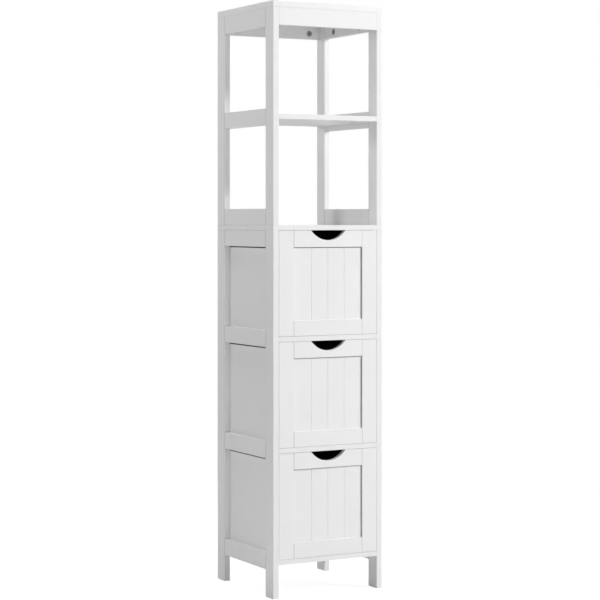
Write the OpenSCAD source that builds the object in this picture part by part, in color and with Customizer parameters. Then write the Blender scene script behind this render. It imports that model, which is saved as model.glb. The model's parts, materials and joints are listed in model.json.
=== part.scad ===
// Freestanding bathroom storage tower. Two side frames of stiles and rails carry flat boards between
// them. The upper half holds two open shelf bays, and the lower half holds three drawers that slide on
// the boards and have framed fronts with a grooved panel and a finger cut-out.
// The origin is on the floor under the middle of the tower. The front faces -Y, and +X is to the right.

/* [Overall size] */
// Width over the side frames
tower_w = 300; // [260:1:420]
// Depth over the side frames
tower_d = 300; // [260:1:420]
// Height of the space under the base board
leg_clearance = 79; // [50:1:160]

/* [Bays] */
// Clear height of each drawer bay
drawer_bay_h = 253; // [190:1:320]
// Clear height of each open shelf bay
shelf_bay_h = 253; // [190:1:320]

/* [Boards] */
// Thickness of the deck, shelf, dividers and base board
board_t = 12; // [10:0.5:18]
// Thickness of the top board
top_t = 16; // [12:0.5:25]
// Width of the flat that takes the sharpness off each board edge
edge_ease = 0.8; // [0.3:0.1:1.5]

/* [Side frames] */
// Thickness of the stiles, rails and legs
frame_t = 15; // [13:0.5:20]
// Width of each stile and leg, seen from the side
stile_w = 40; // [30:1:60]
// Height of each side rail
rail_h = 40; // [34:1:60]
// Height of the rails under the top board
top_rail_h = 42; // [36:1:60]

/* [Sheets] */
// Thickness of the sheets behind the lower side frames
side_sheet_t = 3; // [2:0.5:5]
// Thickness of the sheet across the back of the drawer bays
back_sheet_t = 3; // [2:0.5:5]

/* [Drawer fronts] */
// Thickness of the framed front
front_t = 12; // [10:0.5:16]
// Gap round each drawer front
front_gap = 0.6; // [0.4:0.1:2]
// Width of the upright pieces of the front
front_stile_w = 40; // [30:1:60]
// Height of the front's top piece
front_top_h = 40; // [34:1:60]
// Height of the front's bottom piece
front_bottom_h = 37; // [28:1:60]
// Depth of the grooved panel behind the face of the front
panel_recess = 4; // [2:0.5:5]
// Thickness of the grooved panel
panel_t = 4; // [3:0.5:5]
// How far the panel and the joint tongues reach into the pieces round them
panel_insert = 8; // [5:0.5:10]
// Play round each tongue in its groove
groove_play = 0.1; // [0.05:0.05:0.3]
// Height left solid beside each joint tongue
tongue_shoulder = 6; // [3:0.5:8]
// Number of V-grooves in the panel
v_count = 3; // [1:1:5]
// Distance between V-grooves
v_pitch = 45; // [25:1:60]
// Width of each V-groove
v_w = 2.2; // [1:0.1:5]
// Depth of each V-groove
v_depth = 0.9; // [0.5:0.1:2.5]
// Width of the finger cut-out at the top edge
finger_w = 94; // [70:1:120]
// Depth of the finger cut-out
finger_h = 23.5; // [18:0.5:26]

/* [Drawer boxes] */
// Thickness of the box sides and back
box_t = 12; // [9:0.5:15]
// Height of the box sides and back
box_h = 185; // [120:1:185]
// Gap between each box side and the sheet beside it
box_side_gap = 1; // [0.5:0.1:3]
// Running gap under the box sides
run_gap = 0.3; // [0.2:0.1:0.5]
// Space left behind the box when the drawer is shut
box_rear_gap = 12; // [5:1:30]
// Thickness of the drawer bottom
bottom_t = 3; // [2:0.5:6]
// Height of the drawer bottom above the lower edge of the sides
bottom_rise = 8; // [5:0.5:15]
// Depth of the groove that holds the drawer bottom
bottom_groove = 5; // [3:0.5:7]

/* [Dowels] */
// Diameter of the wooden dowels
dowel_d = 6; // [5:0.5:8]
// Length of the wooden dowels
dowel_l = 30; // [24:1:34]
// Play round a dowel in its hole
dowel_play = 0.1; // [0.05:0.05:0.3]
// Glue space at each end of a dowel hole
dowel_end_space = 1; // [0.5:0.1:2]
// Depth of a dowel that enters a frame piece from the inside
dowel_in_frame = 9; // [6:0.5:10]
// Distance between the two dowels of a joint
dowel_pitch = 20; // [16:1:22]
// Distance of the board dowels in front of and behind the middle
board_dowel_y = 45; // [30:1:55]
// Distance of the deck rail dowels in front of and behind the middle
deck_dowel_y = 60; // [40:1:75]

/* [Cam fittings] */
// Diameter of a cam lock
cam_d = 15; // [12:0.5:15]
// Depth of a cam lock past the middle of the piece that holds it
cam_past_middle = 4; // [3:0.5:4.5]
// Distance from the middle of a cam lock to the joint that it pulls together
cam_setback = 28; // [22:0.5:30]
// Play round a cam lock in its hole
cam_play = 0.2; // [0.1:0.05:0.4]
// Diameter of a cam bolt
bolt_d = 6; // [5:0.5:6.5]
// Depth of a cam bolt's thread in the piece that it pulls
bolt_thread_l = 9; // [7:0.5:10]
// Play round a cam bolt's thread
thread_play = 0.1; // [0.05:0.05:0.2]
// Width of the screwdriver cross in a cam lock
cross_w = 1.6; // [1:0.1:2.5]
// Depth of the screwdriver cross in a cam lock
cross_depth = 2; // [1:0.1:2.5]
// Distance of the side rail cams in front of and behind the middle
side_cam_y = 63; // [50:1:75]
// Distance from a cam in the front or rear rail to the dowel holes beside it
cam_from_dowels = 9; // [8.5:0.5:40]
// Distance of the board cams in front of and behind the middle
board_cam_y = 80; // [70:1:85]

/* [Hidden] */
$fn = 48;

// Left and right, and front and rear, are written as -1 and 1
left = -1;
right = 1;
front = -1;
rear = 1;
both = [-1, 1];

// Half sizes, measured from the middle of the footprint
half_w = tower_w / 2;
half_d = tower_d / 2;
inner_half_w = half_w - frame_t;
frame_mid_x = half_w - frame_t / 2;
rail_half_l = half_d - stile_w;
stile_mid_y = half_d - stile_w / 2;
cross_rail_mid_y = half_d - frame_t / 2;

// Dowels that cross from a board or a rail into the frame beside it, and the cams next to them
cross_dowel_x = inner_half_w + dowel_in_frame - dowel_l / 2;
cross_rail_cam_x = cross_dowel_x - dowel_l / 2 - dowel_end_space - cam_from_dowels;

// Undersides of the boards, from the floor up
base_z = leg_clearance;
lower_divider_z = base_z + board_t + drawer_bay_h;
upper_divider_z = lower_divider_z + board_t + drawer_bay_h;
deck_z = upper_divider_z + board_t + drawer_bay_h;
deck_top_z = deck_z + board_t;
shelf_z = deck_top_z + shelf_bay_h;
top_z = shelf_z + board_t + shelf_bay_h;

// Boards that lie between the side frames, and the side rails of both frames
housed_boards_z = [base_z, lower_divider_z, upper_divider_z, shelf_z];
top_rail_z = top_z - top_rail_h;
deck_rail_z = deck_z - rail_h;
rail_mids_z = concat([for (z = housed_boards_z) z + board_t / 2],
                     [deck_rail_z + rail_h / 2, deck_top_z + rail_h / 2, top_rail_z + top_rail_h / 2]);

// Drawers count from the bottom: lower, middle and upper
lower = 0;
middle = 1;
upper = 2;
bay_floors_z = [base_z + board_t, lower_divider_z + board_t, upper_divider_z + board_t];

// Drawer fronts and boxes
front_half_w = inner_half_w - front_gap;
opening_half_w = front_half_w - front_stile_w;
front_y = [-half_d, -half_d + front_t];
panel_y = [-half_d + panel_recess, -half_d + panel_recess + panel_t];
box_half_w = inner_half_w - side_sheet_t - box_side_gap;
box_inner_half_w = box_half_w - box_t;
box_end_y = half_d - back_sheet_t - box_rear_gap;
finger_r = (finger_w * finger_w / 4 + finger_h * finger_h) / (2 * finger_h);

// Overshoot that carries a cut clear of the face that it opens
past = 1;

// Ranges along one axis: [lowest, highest]

function outer_range(sign, half, size) = sign < 0 ? [-half, -half + size] : [half - size, half];
function rail_z_at(board_z) = board_z + board_t / 2 - rail_h / 2;
function front_z(bay) = [bay_floors_z[bay] + front_gap, bay_floors_z[bay] + drawer_bay_h - front_gap];
function box_z(bay) = [bay_floors_z[bay] + run_gap, bay_floors_z[bay] + run_gap + box_h];
function grown(range, by) = [range[0] - by, range[1] + by];
function inside(value, range) = value > range[0] && value < range[1];

// A plain block that fills the given ranges
module sheet(x, y, z) {
    translate([x[0], y[0], z[0]]) cube([x[1] - x[0], y[1] - y[0], z[1] - z[0]]);
}

module eased_outline(a, b, e) {
    polygon([[e, 0], [a - e, 0], [a, e], [a, b - e], [a - e, b], [e, b], [0, b - e], [0, e]]);
}

// A board that fills the given ranges, with all twelve edges eased
module board(x, y, z) {
    w = x[1] - x[0];
    d = y[1] - y[0];
    h = z[1] - z[0];
    e = min(edge_ease, min(w, d, h) / 4);
    translate([x[0], y[0], z[0]]) intersection() {
        linear_extrude(h) eased_outline(w, d, e);
        rotate([90, 0, 90]) linear_extrude(w) eased_outline(d, h, e);
        translate([0, d, 0]) rotate([90, 0, 0]) linear_extrude(d) eased_outline(w, h, e);
    }
}

// Dowels. Each child is drawn along Z at the middle of a dowel whose height lies in the zone.

module dowel_places(zone) {
    for (side = both, end = both) {
        // Side rails to stiles and legs
        for (mid_z = rail_mids_z, dz = both * dowel_pitch / 2) if (inside(mid_z + dz, zone))
            translate([side * frame_mid_x, end * rail_half_l, mid_z + dz]) rotate([90, 0, 0]) children();
        // Boards to side rails
        for (board_z = housed_boards_z) if (inside(board_z + board_t / 2, zone))
            translate([side * cross_dowel_x, end * board_dowel_y, board_z + board_t / 2])
                rotate([0, 90, 0]) children();
        // Front and rear rails to stiles
        for (dz = both * dowel_pitch / 2) if (inside(top_rail_z + top_rail_h / 2 + dz, zone))
            translate([side * cross_dowel_x, end * cross_rail_mid_y, top_rail_z + top_rail_h / 2 + dz])
                rotate([0, 90, 0]) children();
        // Upright dowels, through the deck
        for (y = [deck_dowel_y, stile_mid_y]) if (inside(deck_z + board_t / 2, grown(zone, board_t)))
            translate([side * frame_mid_x, end * y, deck_z + board_t / 2]) children();
    }
}

module dowel_holes(zone) {
    dowel_places(zone)
        cylinder(d = dowel_d + dowel_play, h = dowel_l + 2 * dowel_end_space, center = true);
}

// Cam fittings. Each child is drawn with the cam's face at its origin, looking along -Z, and the bolt
// along +X. The thickness of the piece that holds the cam is in $holder_t.

module cam_places(zone) {
    top_cam_z = top_z - cam_setback;
    if (zone[1] > top_rail_z) {
        $holder_t = frame_t;
        for (side = both, end = both) {
            translate([side * inner_half_w, end * side_cam_y, top_cam_z])
                rotate([side > 0 ? 180 : 0, -90, 0]) children();
            translate([side * cross_rail_cam_x, end * (half_d - frame_t), top_cam_z])
                rotate([-90 * end, -90, 0]) children();
        }
    }
    for (board_z = housed_boards_z, side = both, end = both) if (inside(board_z + board_t / 2, zone)) {
        $holder_t = board_t;
        translate([side * (inner_half_w - cam_setback), end * board_cam_y, board_z])
            rotate([0, 0, side > 0 ? 0 : 180]) children();
    }
}

module along_bolt() {
    translate([0, 0, $holder_t / 2]) rotate([0, 90, 0]) children();
}

module cam_hole() {
    translate([0, 0, -past])
        cylinder(d = cam_d + cam_play, h = past + $holder_t / 2 + cam_past_middle + cam_play);
    along_bolt() {
        cylinder(d = bolt_d + 2 * cam_play, h = cam_setback);
        cylinder(d = bolt_d + thread_play, h = cam_setback + bolt_thread_l + cam_play);
    }
}

module cam_lock() {
    difference() {
        cylinder(d = cam_d, h = $holder_t / 2 + cam_past_middle);
        along_bolt() cylinder(d = bolt_d + 2 * cam_play, h = cam_d);
        for (turn = [0, 90]) rotate(turn) translate([-cam_d / 3, -cross_w / 2, -past])
            cube([cam_d * 2 / 3, cross_w, past + cross_depth]);
    }
}

// A bolt has a head inside the cam, a thinner neck through its wall, and a shank beyond
module cam_bolt() {
    neck_d = bolt_d / 2;
    head_l = cam_d / 4;
    shank_from = cam_d / 2 + cam_play;
    along_bolt() {
        cylinder(d = bolt_d, h = head_l);
        cylinder(d = neck_d, h = cam_setback);
        translate([0, 0, shank_from]) cylinder(d = bolt_d, h = cam_setback + bolt_thread_l - shank_from);
    }
}

module drilled(zone) {
    difference() {
        children();
        dowel_holes(zone);
        cam_places(zone) cam_hole();
    }
}

// Side frames

module stile(side, end, z) {
    color("white") drilled(z)
        board(outer_range(side, half_w, frame_t), outer_range(end, half_d, stile_w), z);
}

module side_rail(side, z) {
    color("white") drilled(z) board(outer_range(side, half_w, frame_t), [-rail_half_l, rail_half_l], z);
}

module leg(side, end) {
    stile(side, end, [0, deck_z]);
}

module upper_stile(side, end) {
    stile(side, end, [deck_top_z, top_z]);
}

module rail_at(side, rail_z) {
    side_rail(side, [rail_z, rail_z + rail_h]);
}

module top_side_rail(side) {
    side_rail(side, [top_rail_z, top_z]);
}

// Rails across the front and the rear, under the top board

module top_cross_rail(end) {
    color("white") drilled([top_rail_z, top_z])
        board([-inner_half_w, inner_half_w], outer_range(end, half_d, frame_t), [top_rail_z, top_z]);
}

// Boards

module full_board(z) {
    color("white") drilled(z) board([-half_w, half_w], [-half_d, half_d], z);
}

module housed_board(z, rear_y) {
    color("white") drilled([z, z + board_t])
        board([-inner_half_w, inner_half_w], [-half_d, rear_y], [z, z + board_t]);
}

// Sheets that close the drawer bays. Each side has one sheet per bay.

module side_sheets(side) {
    for (floor_z = bay_floors_z) color("ghostwhite")
        sheet(outer_range(side, inner_half_w, side_sheet_t),
              [-half_d + front_t + front_gap, half_d - back_sheet_t],
              [floor_z, floor_z + drawer_bay_h]);
}

module back_sheet() {
    color("ghostwhite")
        sheet([-inner_half_w, inner_half_w], [half_d - back_sheet_t, half_d], [base_z, deck_z]);
}

// Drawer fronts

function panel_z(bay) = [front_z(bay)[0] + front_bottom_h - panel_insert,
                         front_z(bay)[1] - front_top_h + panel_insert];
function top_tongue_z(bay) = [panel_z(bay)[1] + tongue_shoulder, front_z(bay)[1] - tongue_shoulder];
function bottom_tongue_z(bay) = [front_z(bay)[0] + tongue_shoulder, panel_z(bay)[0] - tongue_shoulder];

// The block of the grooved panel, and with play added the groove that takes it
module panel_block(bay, play) {
    half = opening_half_w + panel_insert;
    sheet(grown([-half, half], play), grown(panel_y, play), grown(panel_z(bay), play));
}

// Tongues at both ends of a front rail, and with play added the mortises that take them
module tongues(z, play) {
    half = opening_half_w + panel_insert;
    for (side = both)
        sheet(grown(outer_range(side, half, panel_insert + past), play),
              grown(panel_y, play), grown(z, play));
}

module drawer_front_stiles(bay) {
    for (side = both) color("white") difference() {
        board(outer_range(side, front_half_w, front_stile_w), front_y, front_z(bay));
        panel_block(bay, groove_play);
        tongues(top_tongue_z(bay), groove_play);
        tongues(bottom_tongue_z(bay), groove_play);
    }
}

module drawer_front_top(bay) {
    z = front_z(bay);
    color("white") difference() {
        union() {
            board([-opening_half_w, opening_half_w], front_y, [z[1] - front_top_h, z[1]]);
            tongues(top_tongue_z(bay), 0);
        }
        panel_block(bay, groove_play);
        translate([0, -half_d - past, z[1] + finger_r - finger_h]) rotate([-90, 0, 0])
            cylinder(r = finger_r, h = front_t + 2 * past, $fn = 128);
    }
}

module drawer_front_bottom(bay) {
    z = front_z(bay);
    color("white") difference() {
        union() {
            board([-opening_half_w, opening_half_w], front_y, [z[0], z[0] + front_bottom_h]);
            tongues(bottom_tongue_z(bay), 0);
        }
        panel_block(bay, groove_play);
    }
}

module drawer_panel(bay) {
    mouth = v_w / 2 * (v_depth + past) / v_depth;
    color("white") difference() {
        panel_block(bay, 0);
        for (i = [0 : v_count - 1])
            translate([(i - (v_count - 1) / 2) * v_pitch, panel_y[0], front_z(bay)[0]])
                linear_extrude(drawer_bay_h) polygon([[-mouth, -past], [0, v_depth], [mouth, -past]]);
    }
}

// Drawer boxes

// The block of the drawer bottom, and with play added the grooves that take it
module bottom_block(bay, play) {
    half = box_inner_half_w + bottom_groove;
    z = box_z(bay)[0] + bottom_rise;
    sheet(grown([-half, half], play), [front_y[1], box_end_y - box_t + bottom_groove + play],
          grown([z, z + bottom_t], play));
}

module drawer_side(bay, side) {
    color("snow") difference() {
        board(outer_range(side, box_half_w, box_t), [front_y[1], box_end_y], box_z(bay));
        bottom_block(bay, groove_play);
    }
}

module drawer_back(bay) {
    color("snow") difference() {
        board([-box_inner_half_w, box_inner_half_w], [box_end_y - box_t, box_end_y], box_z(bay));
        bottom_block(bay, groove_play);
    }
}

module drawer_bottom(bay) {
    color("snow") bottom_block(bay, 0);
}

// Fasteners

module dowels() {
    color("burlywood") dowel_places([0, top_z]) cylinder(d = dowel_d, h = dowel_l, center = true);
}

module cam_locks() {
    color("silver") cam_places([0, top_z]) cam_lock();
}

module cam_bolts() {
    color("gray") cam_places([0, top_z]) cam_bolt();
}

full_board([top_z, top_z + top_t]);  // top_board
top_cross_rail(front);  // top_front_rail
top_cross_rail(rear);  // top_rear_rail
upper_stile(left, front);  // upper_left_front_stile
upper_stile(left, rear);  // upper_left_rear_stile
upper_stile(right, front);  // upper_right_front_stile
upper_stile(right, rear);  // upper_right_rear_stile
top_side_rail(left);  // left_top_rail
rail_at(left, rail_z_at(shelf_z));  // left_shelf_rail
rail_at(left, deck_top_z);  // left_upper_base_rail
top_side_rail(right);  // right_top_rail
rail_at(right, rail_z_at(shelf_z));  // right_shelf_rail
rail_at(right, deck_top_z);  // right_upper_base_rail
housed_board(shelf_z, half_d);  // shelf_board
full_board([deck_z, deck_top_z]);  // deck_board
housed_board(upper_divider_z, half_d - back_sheet_t);  // upper_divider
housed_board(lower_divider_z, half_d - back_sheet_t);  // lower_divider
housed_board(base_z, half_d - back_sheet_t);  // base_board
leg(left, front);  // left_front_leg
leg(left, rear);  // left_rear_leg
leg(right, front);  // right_front_leg
leg(right, rear);  // right_rear_leg
rail_at(left, deck_rail_z);  // left_deck_rail
rail_at(left, rail_z_at(upper_divider_z));  // left_upper_divider_rail
rail_at(left, rail_z_at(lower_divider_z));  // left_lower_divider_rail
rail_at(left, rail_z_at(base_z));  // left_base_rail
rail_at(right, deck_rail_z);  // right_deck_rail
rail_at(right, rail_z_at(upper_divider_z));  // right_upper_divider_rail
rail_at(right, rail_z_at(lower_divider_z));  // right_lower_divider_rail
rail_at(right, rail_z_at(base_z));  // right_base_rail
side_sheets(left);  // left_side_sheets
side_sheets(right);  // right_side_sheets
back_sheet();
dowels();
cam_locks();
cam_bolts();
drawer_front_stiles(upper);  // upper_drawer_front_stiles
drawer_front_top(upper);  // upper_drawer_front_top
drawer_front_bottom(upper);  // upper_drawer_front_bottom
drawer_panel(upper);  // upper_drawer_panel
drawer_side(upper, left);  // upper_drawer_left_side
drawer_side(upper, right);  // upper_drawer_right_side
drawer_back(upper);  // upper_drawer_back
drawer_bottom(upper);  // upper_drawer_bottom
drawer_front_stiles(middle);  // middle_drawer_front_stiles
drawer_front_top(middle);  // middle_drawer_front_top
drawer_front_bottom(middle);  // middle_drawer_front_bottom
drawer_panel(middle);  // middle_drawer_panel
drawer_side(middle, left);  // middle_drawer_left_side
drawer_side(middle, right);  // middle_drawer_right_side
drawer_back(middle);  // middle_drawer_back
drawer_bottom(middle);  // middle_drawer_bottom
drawer_front_stiles(lower);  // lower_drawer_front_stiles
drawer_front_top(lower);  // lower_drawer_front_top
drawer_front_bottom(lower);  // lower_drawer_front_bottom
drawer_panel(lower);  // lower_drawer_panel
drawer_side(lower, left);  // lower_drawer_left_side
drawer_side(lower, right);  // lower_drawer_right_side
drawer_back(lower);  // lower_drawer_back
drawer_bottom(lower);  // lower_drawer_bottom
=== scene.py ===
# A tall, narrow bathroom tower in white lacquered fibreboard: two side frames of stiles and rails,
# open shelves above, and three drawers below with framed, grooved fronts and finger cut-outs.
# Lengths are in metres. The front faces -Y, +X is to the right, and the floor is at Z = 0.
import json
import math

import bmesh
import bpy
from mathutils import Matrix, Vector

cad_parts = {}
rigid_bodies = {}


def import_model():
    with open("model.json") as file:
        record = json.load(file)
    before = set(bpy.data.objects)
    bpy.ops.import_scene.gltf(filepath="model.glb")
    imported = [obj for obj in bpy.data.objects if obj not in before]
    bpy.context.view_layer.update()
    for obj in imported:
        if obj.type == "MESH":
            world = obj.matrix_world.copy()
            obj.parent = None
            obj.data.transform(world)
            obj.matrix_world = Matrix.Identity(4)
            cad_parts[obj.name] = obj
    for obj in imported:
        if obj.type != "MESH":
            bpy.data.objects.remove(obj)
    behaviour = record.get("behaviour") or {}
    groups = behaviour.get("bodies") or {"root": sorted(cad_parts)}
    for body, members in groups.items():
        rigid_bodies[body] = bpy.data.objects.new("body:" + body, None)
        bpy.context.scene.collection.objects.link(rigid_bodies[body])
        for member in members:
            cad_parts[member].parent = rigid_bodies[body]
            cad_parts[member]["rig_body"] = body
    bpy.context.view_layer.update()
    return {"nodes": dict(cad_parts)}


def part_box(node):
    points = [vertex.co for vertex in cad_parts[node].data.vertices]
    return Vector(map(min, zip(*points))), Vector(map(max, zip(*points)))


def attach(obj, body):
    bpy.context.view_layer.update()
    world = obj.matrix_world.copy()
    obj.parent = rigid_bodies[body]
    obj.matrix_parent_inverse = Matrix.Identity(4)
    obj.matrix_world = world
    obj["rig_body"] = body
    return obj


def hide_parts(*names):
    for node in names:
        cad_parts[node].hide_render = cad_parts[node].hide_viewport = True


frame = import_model()

# ---- Legs ------------------------------------------------------------------------------------
# Four uprights of fibreboard, sawn to 40 x 15 mm and rounded over with fine paper. They are
# sprayed all round with semi-gloss white lacquer, which leaves a faint orange peel, and end
# under the deck.
mm = 0.001
SIDES = {"left": -1, "right": 1}
ENDS = {"front": -1, "rear": 1}
SANDED_ARRIS = 0.8 * mm
ARRIS_FACETS = 4
SHARP_FROM = math.radians(50)       # edges sharper than this aren't shaded round
HAIRLINE = 0.15 * mm                # what a butt joint leaves open once it is drawn tight
LACQUER_THIN, LACQUER_FULL = (0.868, 0.868, 0.868, 1), (0.892, 0.892, 0.892, 1)
LACQUER_PATCH = 90 * mm
SHEEN, SHEEN_SPREAD, SHEEN_PATCH = 0.27, 0.10, 35 * mm      # a roughness, and how it varies
PEEL_WAVE, PEEL_DEPTH = 2.2 * mm, 0.006 * mm
SANDED_WAVE, SANDED_DEPTH = 14 * mm, 0.02 * mm


class Wire:
    """One socket in a tree of nodes. Arithmetic on it adds Math nodes."""

    def __init__(self, tree, socket):
        self.tree, self.socket = tree, socket

    def math(self, operation, *values):
        return self.tree.node("ShaderNodeMath", {"operation": operation}, dict(enumerate(values)))

    def __add__(self, other):
        return self.math("ADD", self, other)

    def __sub__(self, other):
        return self.math("SUBTRACT", self, other)

    def __rsub__(self, other):
        return self.math("SUBTRACT", other, self)

    def __mul__(self, other):
        return self.math("MULTIPLY", self, other)

    def __abs__(self):
        return self.math("ABSOLUTE", self)

    def __gt__(self, other):
        return self.math("GREATER_THAN", self, other)

    def __lt__(self, other):
        return self.math("LESS_THAN", self, other)

    __radd__ = __add__
    __rmul__ = __mul__


class Tree:
    """A tree of nodes, with the one method that adds a node to it."""

    def __init__(self, nodes):
        self.nodes = nodes
        nodes.nodes.clear()

    def node(self, kind, settings=None, sockets=None, output=0):
        """A node of one kind, with its settings made first and then its sockets set or linked."""
        made = self.nodes.nodes.new(kind)
        for name, value in (settings or {}).items():
            setattr(made, name, value)
        for name, value in (sockets or {}).items():
            for one in value if isinstance(value, list) else [value]:
                if isinstance(one, Wire):
                    self.nodes.links.new(one.socket, made.inputs[name])
                else:
                    made.inputs[name].default_value = one
        return Wire(self, made.outputs[output]) if made.outputs else None


class Finish(Tree):
    """A procedural surface for one material, drawn on Object coordinates in metres."""

    def __init__(self, name, **fixed):
        self.material = bpy.data.materials.new(name)
        self.material.use_nodes = True
        super().__init__(self.material.node_tree)
        self.place = self.node("ShaderNodeTexCoord", output="Object")
        fixed = {socket.replace("_", " "): value for socket, value in fixed.items()}
        principled = self.node("ShaderNodeBsdfPrincipled", {}, fixed)
        self.surface = principled.socket.node
        self.node("ShaderNodeOutputMaterial", {}, {"Surface": principled})

    def speckle(self, size, detail=2.0, stretch=(1, 1, 1)):
        """Noise from 0 to 1 whose blotches are about this size, stretched along an axis."""
        where = self.node("ShaderNodeMapping", {}, {"Vector": self.place, "Scale": stretch})
        return self.node("ShaderNodeTexNoise", {},
                         {"Vector": where, "Scale": 1 / size, "Detail": detail})

    def mixed(self, share, first, second):
        """A colour between two colours."""
        return self.node("ShaderNodeMix", {"data_type": "RGBA"}, {0: share, 6: first, 7: second}, 2)

    def feeds(self, **sockets):
        """Links values to the surface's own sockets."""
        for name, value in sockets.items():
            self.nodes.links.new(value.socket, self.surface.inputs[name.replace("_", " ")])

    def bumped(self, height, depth, under=None):
        """A normal that follows a height from 0 to 1, this deep at most."""
        sockets = {"Height": height, "Distance": depth, "Strength": 1.0}
        if under:
            sockets["Normal"] = under
        return self.node("ShaderNodeBump", {}, sockets)

    def lacquer_white(self):
        """The white of the lacquer, a shade thinner in broad patches."""
        return self.mixed(self.speckle(LACQUER_PATCH, 3.0), LACQUER_THIN, LACQUER_FULL)

    def lacquer_sheen(self):
        """The roughness of the lacquer, semi-gloss and a little uneven."""
        return SHEEN + SHEEN_SPREAD * self.speckle(SHEEN_PATCH, 3.0)

    def orange_peel(self, under):
        """The fine waves of the lacquer, over the relief of what it covers."""
        return self.bumped(self.speckle(PEEL_WAVE, 1.0), PEEL_DEPTH, under)


lacquer = Finish("white_lacquer", IOR=1.5)
lacquer.feeds(
    Base_Color=lacquer.lacquer_white(),
    Roughness=lacquer.lacquer_sheen(),
    Normal=lacquer.orange_peel(lacquer.bumped(lacquer.speckle(SANDED_WAVE), SANDED_DEPTH)),
)


def as_object(name, bm, material):
    """An object at the origin that holds a mesh in one material."""
    mesh = bpy.data.meshes.new(name)
    bm.to_mesh(mesh)
    bm.free()
    mesh.materials.append(material)
    made = bpy.data.objects.new(name, mesh)
    bpy.context.collection.objects.link(made)
    return made


def settle(piece):
    """Makes a piece's modifiers part of a plain mesh."""
    seen = piece.evaluated_get(bpy.context.evaluated_depsgraph_get())
    mesh = bpy.data.meshes.new_from_object(seen)
    piece.modifiers.clear()
    piece.data = mesh
    mesh.name = piece.name


def finished(name, bm, finish, nodes, holes=()):
    """Makes a piece of one mesh, bored and with shaded arrises, in the place of its nodes."""
    bmesh.ops.recalc_face_normals(bm, faces=bm.faces)
    piece = as_object(name, bm, finish.material)
    if holes:
        bore(piece, holes)
    edges = bmesh.new()
    edges.from_mesh(piece.data)
    for face in edges.faces:
        face.smooth = True
    for edge in edges.edges:
        edge.smooth = edge.is_manifold and edge.calc_face_angle(0) < SHARP_FROM
    edges.to_mesh(piece.data)
    edges.free()
    shading = piece.modifiers.new("flat_faces", "WEIGHTED_NORMAL")
    shading.keep_sharp = True
    settle(piece)
    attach(piece, frame["nodes"][nodes[0]]["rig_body"])
    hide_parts(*nodes)


def add_board(bm, low, high, arris):
    """A board between two corners, with rounded arrises, added to a mesh."""
    made = bmesh.ops.create_cube(bm, size=1)
    fit = Matrix.LocRotScale((low + high) / 2, None, high - low)
    bmesh.ops.transform(bm, matrix=fit, verts=made["verts"])
    edges = {edge for vert in made["verts"] for edge in vert.link_edges}
    bmesh.ops.bevel(bm, geom=list(edges), offset=arris, segments=ARRIS_FACETS, profile=0.5,
                    affect="EDGES")


def board(node, arris=SANDED_ARRIS, finish=lacquer, holes=(),
          low_trim=(0, 0, 0), high_trim=(0, 0, 0)):
    """A board that fills its node's box, less a hairline wherever it butts against another."""
    low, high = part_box(node)
    bm = bmesh.new()
    add_board(bm, low + Vector(low_trim), high - Vector(high_trim), arris)
    finished("made_" + node, bm, finish, [node], holes)


for side in SIDES:
    for end in ENDS:
        board(f"{side}_{end}_leg", high_trim=(0, 0, HAIRLINE))

# ---- Lower side rails ------------------------------------------------------------------------
# Four rails on each side, 40 mm high, doweled between the legs and flush with them. They are
# sawn after lacquering, so a trace of bare fibre draws a fine line at each joint.
RAIL_ARRIS = 0.2 * mm
RAIL_TRIM = (0, HAIRLINE, HAIRLINE)
FRONT_TRACE, REAR_TRACE = 0.03 * mm, 0.9 * mm
DECK_TRACE = 0.15 * mm
BARE_DARK, BARE_PALE = (0.052, 0.042, 0.034, 1), (0.100, 0.082, 0.066, 1)
FIBRE_SIZE, FIBRE_RELIEF = 1.6 * mm, 0.12 * mm
BARE_ROUGHER = 0.45         # how much rougher than the lacquer


def part_lacquered(name, is_lacquered):
    """Fibreboard with the white lacquer on one part only, and bare elsewhere."""
    finish = Finish(name, IOR=1.5)
    painted = is_lacquered(*[
        finish.node("ShaderNodeSeparateXYZ", {}, {"Vector": finish.place}, axis) for axis in "XYZ"])
    bare = 1 - painted
    fibres = finish.speckle(FIBRE_SIZE, 4.0)
    brown = finish.mixed(fibres, BARE_DARK, BARE_PALE)
    finish.feeds(
        Base_Color=finish.mixed(painted, brown, finish.lacquer_white()),
        Roughness=finish.lacquer_sheen() + BARE_ROUGHER * bare,
        Normal=finish.orange_peel(finish.bumped(fibres * bare, FIBRE_RELIEF)),
    )
    return finish


low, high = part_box("left_deck_rail")
front_end, rear_end = low.y + HAIRLINE + FRONT_TRACE, high.y - HAIRLINE - REAR_TRACE
low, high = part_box("deck_board")
deck_middle = (low.z + high.z) / 2
deck_reach = (high.z - low.z) / 2 + HAIRLINE + DECK_TRACE
rail_lacquer = part_lacquered("rail_lacquer", lambda x, y, z: (
    (y > front_end) * (y < rear_end) * (abs(z - deck_middle) > deck_reach)))
for side in SIDES:
    for rail in ("base", "lower_divider", "upper_divider", "deck"):
        board(f"{side}_{rail}_rail", RAIL_ARRIS, rail_lacquer,
              low_trim=RAIL_TRIM, high_trim=RAIL_TRIM)

# ---- Side sheets -----------------------------------------------------------------------------
# Three thin sheets of hardboard on each side, one to a drawer bay, glued behind the frames and
# bare inside. A groove of bare fibre along the rail above each sheet is a painted shadow: its dark
# line stands in for the rail's shade. It is wider further down, where the rail hides more of it.
SHEET_ARRIS = 0.25 * mm
SHEET_SKIN = 0.6 * mm       # how deep the face of a sheet goes, lacquered or bare
SHADOW_GROOVES = (6.2 * mm, 5.0 * mm, 3.2 * mm)       # painted shadow lines on the lower, middle and upper sheet
SHADOW_GROOVE_DEPTH = 2.2 * mm
CORNER_FROM = math.radians(30)      # folds sharper than this are corners


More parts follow.
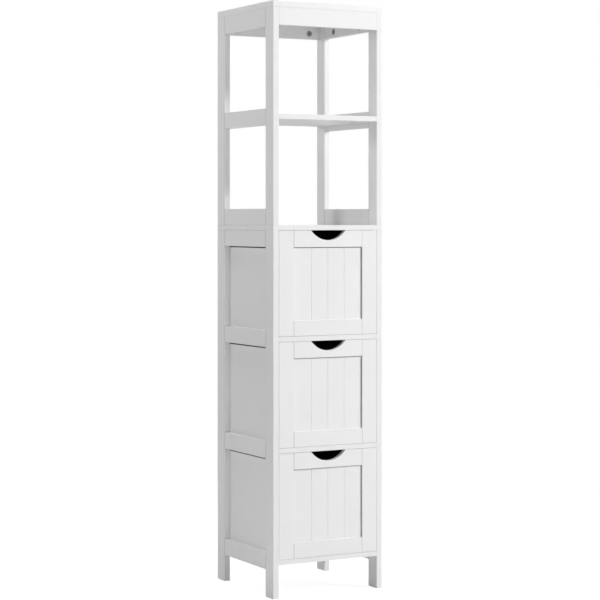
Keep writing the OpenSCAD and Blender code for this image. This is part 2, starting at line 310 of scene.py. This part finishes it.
def extruded(bm, outline, along, arris, is_rounded=None):
    """An outline pushed along a vector, with all its corners or the chosen edges rounded."""
    earlier = set(bm.edges)
    face = bm.faces.new([bm.verts.new(point) for point in outline])
    made = bmesh.ops.extrude_face_region(bm, geom=[face])
    moved = [g for g in made["geom"] if isinstance(g, bmesh.types.BMVert)]
    bmesh.ops.translate(bm, vec=along, verts=moved)
    bmesh.ops.recalc_face_normals(bm, faces=bm.faces)
    is_rounded = is_rounded or (lambda edge: edge.calc_face_angle(0) > CORNER_FROM)
    edges = [edge for edge in bm.edges if edge not in earlier and is_rounded(edge)]
    bmesh.ops.bevel(bm, geom=edges, offset=arris, segments=ARRIS_FACETS, profile=0.5,
                    affect="EDGES")


storeys = [("base_board", "base"), ("lower_divider", "lower_divider"),
           ("upper_divider", "upper_divider"), ("deck_board", "deck")]
for side, sign in SIDES.items():
    low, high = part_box(f"{side}_side_sheets")
    bm = bmesh.new()
    inner, outer = sorted((low.x, high.x), key=abs)
    skin_from = abs(outer) - SHEET_SKIN
    finish = part_lacquered(f"{side}_sheet_lacquer", lambda x, y, z: abs(x) > skin_from)
    # The groove's floor lies deeper than the lacquered skin, so it shows dark bare fibre: a painted
    # shadow under the rail above.
    groove_x = outer - sign * SHADOW_GROOVE_DEPTH
    for (below, _), (above, rail), groove in zip(storeys, storeys[1:], SHADOW_GROOVES):
        bottom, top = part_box(below)[1].z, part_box(above)[0].z
        groove_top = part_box(f"{side}_{rail}_rail")[0].z
        groove_bottom = groove_top - groove
        outline = [(inner, bottom), (inner, top), (outer, top),
                   (outer, groove_top), (groove_x, groove_top),
                   (groove_x, groove_bottom), (outer, groove_bottom), (outer, bottom)]
        extruded(bm, [(x, low.y, z) for x, z in outline], Vector((0, high.y - low.y, 0)),
                 SHEET_ARRIS)
    finished(f"made_{side}_side_sheets", bm, finish, [f"{side}_side_sheets"])

# ---- Base board and dividers -----------------------------------------------------------------
# Three 12 mm boards that tie the side frames together and carry the drawers. Each is bored
# from below for four cams, which draw it tight against the rails. All holes are bored after
# lacquering, so the brown fibre shows inside.
DRAWER_BOARDS = ("base_board", "lower_divider", "upper_divider")
BOARD_ARRIS = 0.4 * mm
DRILL_FACETS = 48
CAM_HOLE_R = 7.6 * mm
CAM_HOLE_PAST = 4.2 * mm        # how far the hole goes past the middle of the board
CAM_SETBACK = 28 * mm           # from the joint that the cam pulls together
BOARD_CAM_Y = 80 * mm

fibre = Finish("bored_fibre", Roughness=0.9)
chips = fibre.speckle(0.7 * mm, 4.0)
fibre.feeds(
    Base_Color=fibre.mixed(chips, (0.10, 0.068, 0.042, 1), (0.19, 0.135, 0.09, 1)),
    Normal=fibre.bumped(chips, 0.1 * mm),
)


def bore(piece, holes):
    """Bores holes into a piece, each given by its mouth, inward direction, radius and depth."""
    drill = bmesh.new()
    for mouth, inward, radius, depth in holes:
        turned = Vector((0, 0, 1)).rotation_difference(inward).to_matrix().to_4x4()
        made = bmesh.ops.create_cone(drill, cap_ends=True, segments=DRILL_FACETS,
                                     radius1=radius, radius2=radius, depth=2 * depth)
        bmesh.ops.transform(drill, matrix=Matrix.Translation(mouth) @ turned, verts=made["verts"])
    bits = as_object("drill_bits", drill, fibre.material)
    cut = piece.modifiers.new("bored", "BOOLEAN")
    cut.operation, cut.solver, cut.object = "DIFFERENCE", "EXACT", bits
    cut.material_mode = "TRANSFER"
    settle(piece)
    bpy.data.objects.remove(bits)


frame_inside_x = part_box("top_front_rail")[1].x
board_cam_places = [
    Vector((sx * (frame_inside_x - CAM_SETBACK), sy * BOARD_CAM_Y, 0))
    for sx in (-1, 1) for sy in (-1, 1)
]
cams = []       # (middle of the face, outward direction) of every cam


def board_with_cams(node):
    """A board held by four cams, which are let into its underside."""
    low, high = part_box(node)
    mouths = [place + Vector((0, 0, low.z)) for place in board_cam_places]
    cams.extend((mouth, Vector((0, 0, -1))) for mouth in mouths)
    depth = (high.z - low.z) / 2 + CAM_HOLE_PAST
    board(node, BOARD_ARRIS,
          holes=[(mouth, Vector((0, 0, 1)), CAM_HOLE_R, depth) for mouth in mouths])


for node in DRAWER_BOARDS:
    board_with_cams(node)

# ---- Back sheet ------------------------------------------------------------------------------
# One sheet of hardboard over the back of the drawer bays, let in between the rear legs. It is
# lacquered on its rear face, and bare inside.
low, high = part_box("back_sheet")
bm = bmesh.new()
add_board(bm, low, high, SHEET_ARRIS)
back_lacquer = part_lacquered("back_sheet_lacquer", lambda x, y, z: y > low.y + SHEET_SKIN)
finished("made_back_sheet", bm, back_lacquer, ["back_sheet"])

# ---- Back nails ------------------------------------------------------------------------------
# Flat-headed steel nails that hold the back sheet to the rear edges of the three boards
# behind it. They are driven home, so that only the thin heads stand out.
NAIL_COLUMNS = 5
NAIL_EDGE_GAP = 12 * mm
NAIL_SUNK = 0.15 * mm
HEAD_FACETS = 24
SMOOTH_BELOW = math.radians(40)     # folds gentler than this are shaded round


class Pattern(Tree):
    """A tree of Geometry Nodes that sets one small fixing at each of its points."""

    def __init__(self, name, **sizes):
        super().__init__(bpy.data.node_groups.new(name, "GeometryNodeTree"))
        self.sizes = sizes
        interface = self.nodes.interface
        interface.new_socket("Points", in_out="INPUT", socket_type="NodeSocketGeometry")
        for size in sizes:
            interface.new_socket(size, in_out="INPUT", socket_type="NodeSocketFloat")
        interface.new_socket("Geometry", in_out="OUTPUT", socket_type="NodeSocketGeometry")
        given = self.node("NodeGroupInput").socket.node.outputs
        self.given = {socket.name: Wire(self, socket) for socket in given}

    def moved(self, geometry, **offsets):
        """Geometry moved along the axes X, Y or Z."""
        where = self.node("ShaderNodeCombineXYZ", {}, offsets)
        return self.node("GeometryNodeTransform", {},
                         {"Geometry": geometry, "Translation": where})

    def lathe(self, top_radius, bottom_radius, height, lift, sides=32):
        """A round slice from the height lift upwards."""
        cone = self.node("GeometryNodeMeshCone", {}, {
            "Vertices": sides, "Radius Top": top_radius, "Radius Bottom": bottom_radius,
            "Depth": height})
        return self.moved(cone, Z=lift)

    def joined(self, *solids):
        """Solids made into one."""
        return self.node("GeometryNodeMeshBoolean", {"operation": "UNION", "solver": "EXACT"},
                         {1: list(solids)})

    def cut(self, solid, *tools):
        """A solid with tools cut out of it."""
        return self.node("GeometryNodeMeshBoolean", {"operation": "DIFFERENCE", "solver": "EXACT"},
                         {0: solid, 1: list(tools)})

    def cross(self, width, length, depth):
        """The two blades of a cross recess, sunk to a depth below the top of a head."""
        blades = []
        for sizes in ({"X": length, "Y": width}, {"X": width, "Y": length}):
            size = self.node("ShaderNodeCombineXYZ", {}, {**sizes, "Z": depth * 2})
            blades.append(self.node("GeometryNodeMeshCube", {}, {"Size": size}))
        return blades

    def ends(self, fixing, finish):
        """Sets the fixing at every point, turned to face outwards, in one material."""
        facing = self.node("GeometryNodeInputNamedAttribute", {"data_type": "FLOAT_VECTOR"},
                           {"Name": "facing"})
        turned = self.node("FunctionNodeAlignRotationToVector", {"axis": "Z"}, {"Vector": facing})
        spin = self.node("GeometryNodeInputNamedAttribute", {"data_type": "FLOAT"},
                         {"Name": "spin"})
        about = self.node("ShaderNodeCombineXYZ", {}, {"Z": spin})
        spun = self.node("FunctionNodeRotateRotation", {"rotation_space": "LOCAL"},
                         {"Rotation": turned, "Rotate By": about})
        placed = self.node("GeometryNodeInstanceOnPoints", {}, {
            "Points": self.given["Points"], "Instance": fixing, "Rotation": spun})
        real = self.node("GeometryNodeRealizeInstances", {}, {"Geometry": placed})
        angle = self.node("GeometryNodeInputMeshEdgeAngle")
        gentle = self.node("FunctionNodeCompare", {"data_type": "FLOAT", "operation": "LESS_THAN"},
                           {"A": angle, "B": SMOOTH_BELOW})
        edged = self.node("GeometryNodeSetShadeSmooth", {"domain": "EDGE"},
                          {"Geometry": real, "Shade Smooth": gentle})
        faced = self.node("GeometryNodeSetShadeSmooth", {"domain": "FACE"},
                          {"Geometry": edged, "Shade Smooth": True})
        painted = self.node("GeometryNodeSetMaterial", {},
                            {"Geometry": faced, "Material": finish.material})
        self.node("NodeGroupOutput", {}, {0: painted})

    def set_at(self, name, places, body, slot, nodes=()):
        """One plain mesh with the fixing at each (point, facing, spin), riding on a body."""
        points = bpy.data.meshes.new(name)
        points.from_pydata([place for place, _, _ in places], [], [])
        facing = points.attributes.new("facing", "FLOAT_VECTOR", "POINT")
        facing.data.foreach_set("vector", [c for _, way, _ in places for c in way])
        spin = points.attributes.new("spin", "FLOAT", "POINT")
        spin.data.foreach_set("value", [turn for _, _, turn in places])
        piece = bpy.data.objects.new(name, points)
        bpy.context.collection.objects.link(piece)
        modifier = piece.modifiers.new("pattern", "NODES")
        modifier.node_group = self.nodes
        for socket in self.nodes.interface.items_tree:
            if socket.name in self.sizes:
                modifier[socket.identifier] = self.sizes[socket.name]
        settle(piece)
        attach(piece, body)
        if nodes:
            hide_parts(*nodes)


steel = Finish("bright_steel", Metallic=1.0)
steel.feeds(
    Base_Color=steel.mixed(steel.speckle(1.5 * mm, 3.0),
                           (0.50, 0.50, 0.51, 1), (0.66, 0.66, 0.67, 1)),
    Roughness=0.24 + 0.2 * steel.speckle(0.8 * mm, 3.0),
    Normal=steel.bumped(steel.speckle(0.5 * mm), 0.01 * mm),
)

nail = Pattern("flat_nail", **{
    "Head radius": 2.1 * mm, "Head height": 0.5 * mm, "Edge": 0.25 * mm})
rim = nail.given["Head radius"] - nail.given["Edge"]
head = nail.lathe(rim, nail.given["Head radius"], nail.given["Head height"], 0.0, HEAD_FACETS)
nail.ends(head, steel)

rear_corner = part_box("back_sheet")[1]
reach = rear_corner.x - NAIL_EDGE_GAP
nail_places = []
for node in DRAWER_BOARDS:
    low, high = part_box(node)
    for column in range(NAIL_COLUMNS):
        x = -reach + 2 * reach * column / (NAIL_COLUMNS - 1)
        place = Vector((x, rear_corner.y - NAIL_SUNK, (low.z + high.z) / 2))
        nail_places.append((place, Vector((0, 1, 0)), 0.0))
nail.set_at("back_nails", nail_places, "cabinet", "steel")

# ---- Deck ------------------------------------------------------------------------------------
# The full-size 12 mm board that closes the drawer bays, lacquered all round. The legs end under
# it, and the upper stiles stand on it over the same dowels.
board("deck_board", BOARD_ARRIS)

# ---- Upper side frames -----------------------------------------------------------------------
# Two open frames, each of two stiles and three rails, doweled and flush like the lower ones.
# The top rails are a little higher, and are bored from inside for cams that hold the top.
TOP_RAIL_CAM_DROP = 28 * mm
SIDE_CAM_Y = 63 * mm
for side in SIDES:
    for end in ENDS:
        board(f"upper_{side}_{end}_stile", low_trim=(0, 0, HAIRLINE), high_trim=(0, 0, HAIRLINE))
    for rail in ("upper_base", "shelf"):
        board(f"{side}_{rail}_rail", RAIL_ARRIS, rail_lacquer,
              low_trim=RAIL_TRIM, high_trim=RAIL_TRIM)


def rail_with_cams(node, mouths, outward, trim, finish):
    """A top rail held up against the top board by cams, which are let into its inner face."""
    low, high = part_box(node)
    depth = min(high - low) / 2 + CAM_HOLE_PAST
    cams.extend((mouth, outward) for mouth in mouths)
    board(node, RAIL_ARRIS, finish, low_trim=trim, high_trim=trim,
          holes=[(mouth, -outward, CAM_HOLE_R, depth) for mouth in mouths])


for side, sign in SIDES.items():
    low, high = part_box(f"{side}_top_rail")
    inner_x = sign * min(abs(low.x), abs(high.x))
    z = high.z - TOP_RAIL_CAM_DROP
    mouths = [Vector((inner_x, end * SIDE_CAM_Y, z)) for end in (-1, 1)]
    rail_with_cams(f"{side}_top_rail", mouths, Vector((-sign, 0, 0)), RAIL_TRIM, rail_lacquer)

# ---- Shelf -----------------------------------------------------------------------------------
# A 12 mm lacquered board between the upper side frames, as deep as the tower. Four cams in its
# underside draw it tight against the shelf rails.
board_with_cams("shelf_board")

# ---- Top -------------------------------------------------------------------------------------
# A lacquered rail across the front and the rear, doweled between the stiles, and a 16 mm top
# board that the cams in all four rails hold down.
CROSS_CAM_X = 104 * mm
for end, sign in ENDS.items():
    low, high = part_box(f"top_{end}_rail")
    inner_y = sign * min(abs(low.y), abs(high.y))
    z = high.z - TOP_RAIL_CAM_DROP
    mouths = [Vector((side * CROSS_CAM_X, inner_y, z)) for side in (-1, 1)]
    rail_with_cams(f"top_{end}_rail", mouths, Vector((0, -sign, 0)), (HAIRLINE, 0, HAIRLINE),
                   lacquer)
board("top_board")

# ---- Cams ------------------------------------------------------------------------------------
# Die-cast zinc discs, hollow behind a cross-shaped opening for the screwdriver, with an arrow
# that points at the bolt. They lie flush in their holes, each turned a little differently.
CAM_TURN = math.radians(4)
zinc = Finish("cast_zinc", Metallic=1.0)
zinc.feeds(
    Base_Color=zinc.mixed(zinc.speckle(3 * mm, 3.0), (0.36, 0.37, 0.38, 1), (0.50, 0.51, 0.52, 1)),
    Roughness=0.40 + 0.2 * zinc.speckle(1.2 * mm, 3.0),
    Normal=zinc.bumped(zinc.speckle(0.6 * mm, 3.0), 0.03 * mm),
)

cam = Pattern("cam", **{
    "Radius": 7.2 * mm, "Lip": 0.5 * mm, "Thickness": 3 * mm,
    "Cross width": 3.0 * mm, "Cross length": 6.8 * mm, "Cross depth": 3.5 * mm,
    "Arrow radius": 1.1 * mm, "Arrow depth": 0.4 * mm, "Arrow place": 5.6 * mm})
radius, thickness, lip = (cam.given[size] for size in ("Radius", "Thickness", "Lip"))
disc = cam.joined(cam.lathe(radius, radius, thickness - lip, thickness * -1),
                  cam.lathe(radius - lip, radius, lip, lip * -1))
blades = cam.cross(cam.given["Cross width"], cam.given["Cross length"], cam.given["Cross depth"])
arrow = cam.node("GeometryNodeMeshCone", {}, {
    "Vertices": 3, "Radius Top": cam.given["Arrow radius"],
    "Radius Bottom": cam.given["Arrow radius"], "Depth": cam.given["Arrow depth"] * 2})
arrow = cam.moved(arrow, X=cam.given["Arrow place"], Z=cam.given["Arrow depth"] * -1)
cam.ends(cam.cut(disc, *blades, arrow), zinc)
cam_turns = [CAM_TURN * ((7 * i) % 9 - 4) for i in range(len(cams))]   # up to four either way
cam.set_at("made_cam_locks", [(place, way, turn) for (place, way), turn in zip(cams, cam_turns)],
           "cabinet", "zinc", ["cam_locks"])

# ---- Bolts and dowels ------------------------------------------------------------------------
# Steel bolts that the cams pull on, and fluted beech dowels glued into every doweled joint. They
# stay hidden in their holes.
beech = Finish("fluted_beech", Roughness=0.6)
grain = beech.speckle(2 * mm, 4.0, (1, 1, 0.2))
beech.feeds(
    Base_Color=beech.mixed(grain, (0.48, 0.33, 0.20, 1), (0.66, 0.50, 0.33, 1)),
    Normal=beech.bumped(grain, 0.1 * mm),
)
for node, finish in {"cam_bolts": steel, "dowels": beech}.items():
    frame["nodes"][node].data.materials.clear()
    frame["nodes"][node].data.materials.append(finish.material)

# ---- Drawer fronts ---------------------------------------------------------------------------
# Each front is a frame of two stiles and two rails in the same lacquered fibreboard, round a
# thinner panel that stands 4 mm behind the face and has V-grooves milled down it. The top rail
# has a round finger cut-out. A strip of bare fibre along the panel's top and sides is painted
# shadow from the frame.
TIERS = ("upper", "middle", "lower")
TONGUE = 8 * mm             # how far the panel and the rails reach into the stiles
GROOVES = (-45 * mm, 0, 45 * mm)
GROOVE_W, GROOVE_DEPTH = 2.2 * mm, 0.9 * mm
GROOVE_ARRIS = 0.2 * mm
FRONT_ARRIS = 0.4 * mm
CUT_OUT_W, CUT_OUT_DEPTH = 94 * mm, 23.5 * mm
ARC_STEPS = 40
CLOSE = 1 * mm              # nearer than this counts as the same place
END_TRACE = 0.3 * mm        # bare fibre that shows at the sawn ends of the rails
PANEL_SHADOW_TRACE = 1.4 * mm      # painted shadow of the frame on the panel, as bare fibre under the top rail and along the stiles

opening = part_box("upper_drawer_panel")[1].x - TONGUE
reach = opening - HAIRLINE
front_rail_lacquer = part_lacquered("front_rail_lacquer",
                                    lambda x, y, z: abs(x) < reach - END_TRACE)
upper_line, middle_line, lower_line = (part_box(f"{tier}_drawer_front_top")[0].z for tier in TIERS)
# The panel is bare under each top rail and along both stiles, never along the bottom rail: a
# painted shadow of the frame.
panel_lacquer = part_lacquered("panel_lacquer", lambda x, y, z: (
    (abs(x) < opening - PANEL_SHADOW_TRACE) * (abs(z - upper_line) > PANEL_SHADOW_TRACE)
    * (abs(z - middle_line) > PANEL_SHADOW_TRACE) * (abs(z - lower_line) > PANEL_SHADOW_TRACE)))


def runs_down_a_groove(edge):
    """Whether an edge of a panel stands upright between the stiles, as those of a groove do."""
    one, other = (vert.co for vert in edge.verts)
    between_stiles = max(abs(one.x), abs(other.x)) < opening - CLOSE
    return between_stiles and abs(one.z - other.z) > CLOSE


radius = (CUT_OUT_W ** 2 / 4 + CUT_OUT_DEPTH ** 2) / (2 * CUT_OUT_DEPTH)
half_angle = math.asin(CUT_OUT_W / 2 / radius)
for tier in TIERS:
    drawer = f"{tier}_drawer_"
    low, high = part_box(drawer + "front_stiles")
    bm = bmesh.new()
    for left, right in ((low.x, -opening), (opening, high.x)):
        add_board(bm, Vector((left, low.y, low.z)), Vector((right, high.y, high.z)), FRONT_ARRIS)
    finished("made_" + drawer + "front_stiles", bm, lacquer,
             [drawer + "front_stiles"])

    low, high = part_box(drawer + "front_bottom")
    bm = bmesh.new()
    add_board(bm, Vector((-reach, low.y, low.z)), Vector((reach, high.y, high.z)), FRONT_ARRIS)
    finished("made_" + drawer + "front_bottom", bm, front_rail_lacquer,
             [drawer + "front_bottom"])

    low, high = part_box(drawer + "front_top")
    outline = [(-reach, low.y, high.z), (-reach, low.y, low.z),
               (reach, low.y, low.z), (reach, low.y, high.z)]
    for step in range(ARC_STEPS + 1):
        angle = half_angle - 2 * half_angle * step / ARC_STEPS
        arc_z = high.z + radius - CUT_OUT_DEPTH - radius * math.cos(angle)
        outline.append((radius * math.sin(angle), low.y, arc_z))
    bm = bmesh.new()
    extruded(bm, outline, Vector((0, high.y - low.y, 0)), FRONT_ARRIS)
    finished("made_" + drawer + "front_top", bm, front_rail_lacquer,
             [drawer + "front_top"])

    low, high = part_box(drawer + "panel")
    outline = [(low.x, high.y, low.z), (low.x, low.y, low.z)]
    for x in GROOVES:
        for across, deep in ((-GROOVE_W / 2, 0), (0, GROOVE_DEPTH), (GROOVE_W / 2, 0)):
            outline.append((x + across, low.y + deep, low.z))
    outline += [(high.x, low.y, low.z), (high.x, high.y, low.z)]
    bm = bmesh.new()
    extruded(bm, outline, Vector((0, 0, high.z - low.z)), GROOVE_ARRIS, runs_down_a_groove)
    finished("made_" + drawer + "panel", bm, panel_lacquer, [drawer + "panel"])

# ---- Drawer boxes ----------------------------------------------------------------------------
# Sides and back of 12 mm board with a satin white coating, butted and screwed, round a thin
# bottom that slides into a groove. The sides are drawn to the front by two cams each.
FIXING_HEIGHTS = (0.28, 0.78)       # shares of the box's height
DRAWER_CAM_HOLE = 10.2 * mm
DRAWER_CAM_TURN = 0.1
SCREW_SEAT_R, SCREW_SEAT_DEPTH = 3.5 * mm, 1.8 * mm
SCREW_SUNK = 0.1 * mm
SCREW_TURN = 0.3

coated = Finish("coated_board", IOR=1.5)
emboss = coated.speckle(0.9 * mm, 2.0, (1, 1, 0.35))
coated.feeds(
    Base_Color=coated.mixed(coated.speckle(60 * mm, 3.0),
                            (0.83, 0.83, 0.825, 1), (0.86, 0.86, 0.855, 1)),
    Roughness=0.42 + 0.1 * emboss,
    Normal=coated.bumped(emboss, 0.02 * mm),
)

screw = Pattern("countersunk_screw", **{
    "Head radius": 3.4 * mm, "Shank radius": 1.6 * mm, "Cone": 1.6 * mm,
    "Cross width": 1.0 * mm, "Cross length": 3.6 * mm, "Cross depth": 1.2 * mm})
head = screw.lathe(screw.given["Head radius"], screw.given["Shank radius"], screw.given["Cone"],
                   screw.given["Cone"] * -1, HEAD_FACETS)
blades = screw.cross(screw.given["Cross width"], screw.given["Cross length"],
                     screw.given["Cross depth"])
screw.ends(screw.cut(head, *blades), steel)

for tier in TIERS:
    drawer = f"{tier}_drawer_"
    body = f"{tier}_drawer"
    back_low, back_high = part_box(drawer + "back")
    box_cams, screws = [], []
    for side, sign in SIDES.items():
        low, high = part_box(f"{drawer}{side}_side")
        outward = Vector((sign, 0, 0))
        inner_x = sign * min(abs(low.x), abs(high.x))
        outer_x = sign * max(abs(low.x), abs(high.x))
        heights = [low.z + share * (high.z - low.z) for share in FIXING_HEIGHTS]
        mouths = [Vector((inner_x, low.y + CAM_SETBACK, z)) for z in heights]
        seats = [Vector((outer_x, (back_low.y + back_high.y) / 2, z)) for z in heights]
        box_cams += [(mouth, -outward, DRAWER_CAM_TURN * sign) for mouth in mouths]
        screws += [(seat - SCREW_SUNK * outward, outward, SCREW_TURN + i)
                   for i, seat in enumerate(seats)]
        holes = [(mouth, outward, CAM_HOLE_R, DRAWER_CAM_HOLE) for mouth in mouths]
        holes += [(seat, -outward, SCREW_SEAT_R, SCREW_SEAT_DEPTH) for seat in seats]
        board(f"{drawer}{side}_side", finish=coated, holes=holes)
    board(drawer + "back", finish=coated)
    board(drawer + "bottom", SHEET_ARRIS, coated)
    cam.set_at(f"{tier}_drawer_cams", box_cams, body, "zinc")
    screw.set_at(f"{tier}_drawer_screws", screws, body, "steel")

# ---- Studio ----------------------------------------------------------------------------------
# A pale floor that fades into a plain white surround, square soft lamps all round, and a
# camera 28.6 degrees to the left of the front, level with the drawers' top.
FLOOR_HALF, FLOOR_BACK = 9, 3       # half the floor's side, and how far it lies to the rear
FLOOR_DROP = 0.0005
FADES_FROM, FADES_TO = 0.5, 2.0     # how far out the floor turns into plain white
LAMPS_AIM = Vector((0, 0, 0.75))

camera_data = bpy.data.cameras.new("camera")
camera_data.sensor_width = 36
camera_data.lens = 113.28
camera_data.shift_y = -0.1347
camera = bpy.data.objects.new("camera", camera_data)
camera.location = (-2.2320, -4.1056, 0.9005)
camera.rotation_euler = (math.radians(90), 0, -math.radians(28.57))
bpy.context.collection.objects.link(camera)
bpy.context.scene.camera = camera

floor_material = bpy.data.materials.new("floor")
floor_material.use_nodes = True
ground = Tree(floor_material.node_tree)
matte = ground.node("ShaderNodeBsdfDiffuse", {}, {"Color": (0.8, 0.8, 0.8, 1)})
pale = ground.node("ShaderNodeBsdfDiffuse", {}, {"Color": (0.35, 0.35, 0.35, 1)})
glow = ground.node("ShaderNodeEmission", {}, {"Color": (1, 1, 1, 1), "Strength": 0.84})
near_by = ground.node("ShaderNodeAddShader", {}, {0: pale, 1: glow})
white = ground.node("ShaderNodeEmission", {}, {"Color": (1, 1, 1, 1), "Strength": 1.0})
place = ground.node("ShaderNodeTexCoord", output="Object")
distance = ground.node("ShaderNodeVectorMath", {"operation": "LENGTH"}, {0: place}, "Value")
far_off = ground.node("ShaderNodeMapRange", {},
                      {"Value": distance, "From Min": FADES_FROM, "From Max": FADES_TO})
faded = ground.node("ShaderNodeMixShader", {}, {0: far_off, 1: near_by, 2: white})
seen = ground.node("ShaderNodeLightPath", output="Is Camera Ray")
ground.node("ShaderNodeOutputMaterial", {}, {
    "Surface": ground.node("ShaderNodeMixShader", {}, {0: seen, 1: matte, 2: faded})})

bm = bmesh.new()
bmesh.ops.create_grid(bm, x_segments=8, y_segments=8, size=FLOOR_HALF)
bmesh.ops.translate(bm, vec=(0, FLOOR_BACK, -FLOOR_DROP), verts=bm.verts)
floor = as_object("floor", bm, floor_material)

world = bpy.data.worlds.new("surround")
bpy.context.scene.world = world
world.use_nodes = True
surround = Tree(world.node_tree)
seen, glossy, through = (surround.node("ShaderNodeLightPath", output=f"Is {kind} Ray")
                         for kind in ("Camera", "Glossy", "Transmission"))
shown = seen.math("MAXIMUM", seen.math("MAXIMUM", seen, glossy), through)
lit = surround.node("ShaderNodeBackground", {}, {"Color": (1, 1, 1, 1), "Strength": 0.15})
white = surround.node("ShaderNodeBackground", {}, {"Color": (1, 1, 1, 1), "Strength": 1.0})
surround.node("ShaderNodeOutputWorld", {}, {
    "Surface": surround.node("ShaderNodeMixShader", {}, {0: shown, 1: lit, 2: white})})

lamps = {       # name: (place, size, power in watts)
    "key": ((3.70, -3.45, 3.4), 0.4, 239),
    "left": ((-2.6, 0.9, 1.45), 0.25, 11.5),
    "top": ((-0.45, -0.15, 3.4), 1.5, 34),
    "front_left": ((-1.7, -4.2, 1.4), 0.8, 12),
    "rear": ((0.6, 3.2, 1.8), 1.2, 45),
}
for name, (place, size, power) in lamps.items():
    data = bpy.data.lights.new(name, "AREA")
    data.shape, data.size, data.energy = "SQUARE", size, power
    lamp = bpy.data.objects.new(name, data)
    lamp.location = place
    lamp.rotation_euler = (Vector(place) - LAMPS_AIM).to_track_quat("Z", "Y").to_euler()
    lamp.visible_camera = False
    bpy.context.collection.objects.link(lamp)

bpy.context.scene.view_settings.view_transform = "Standard"
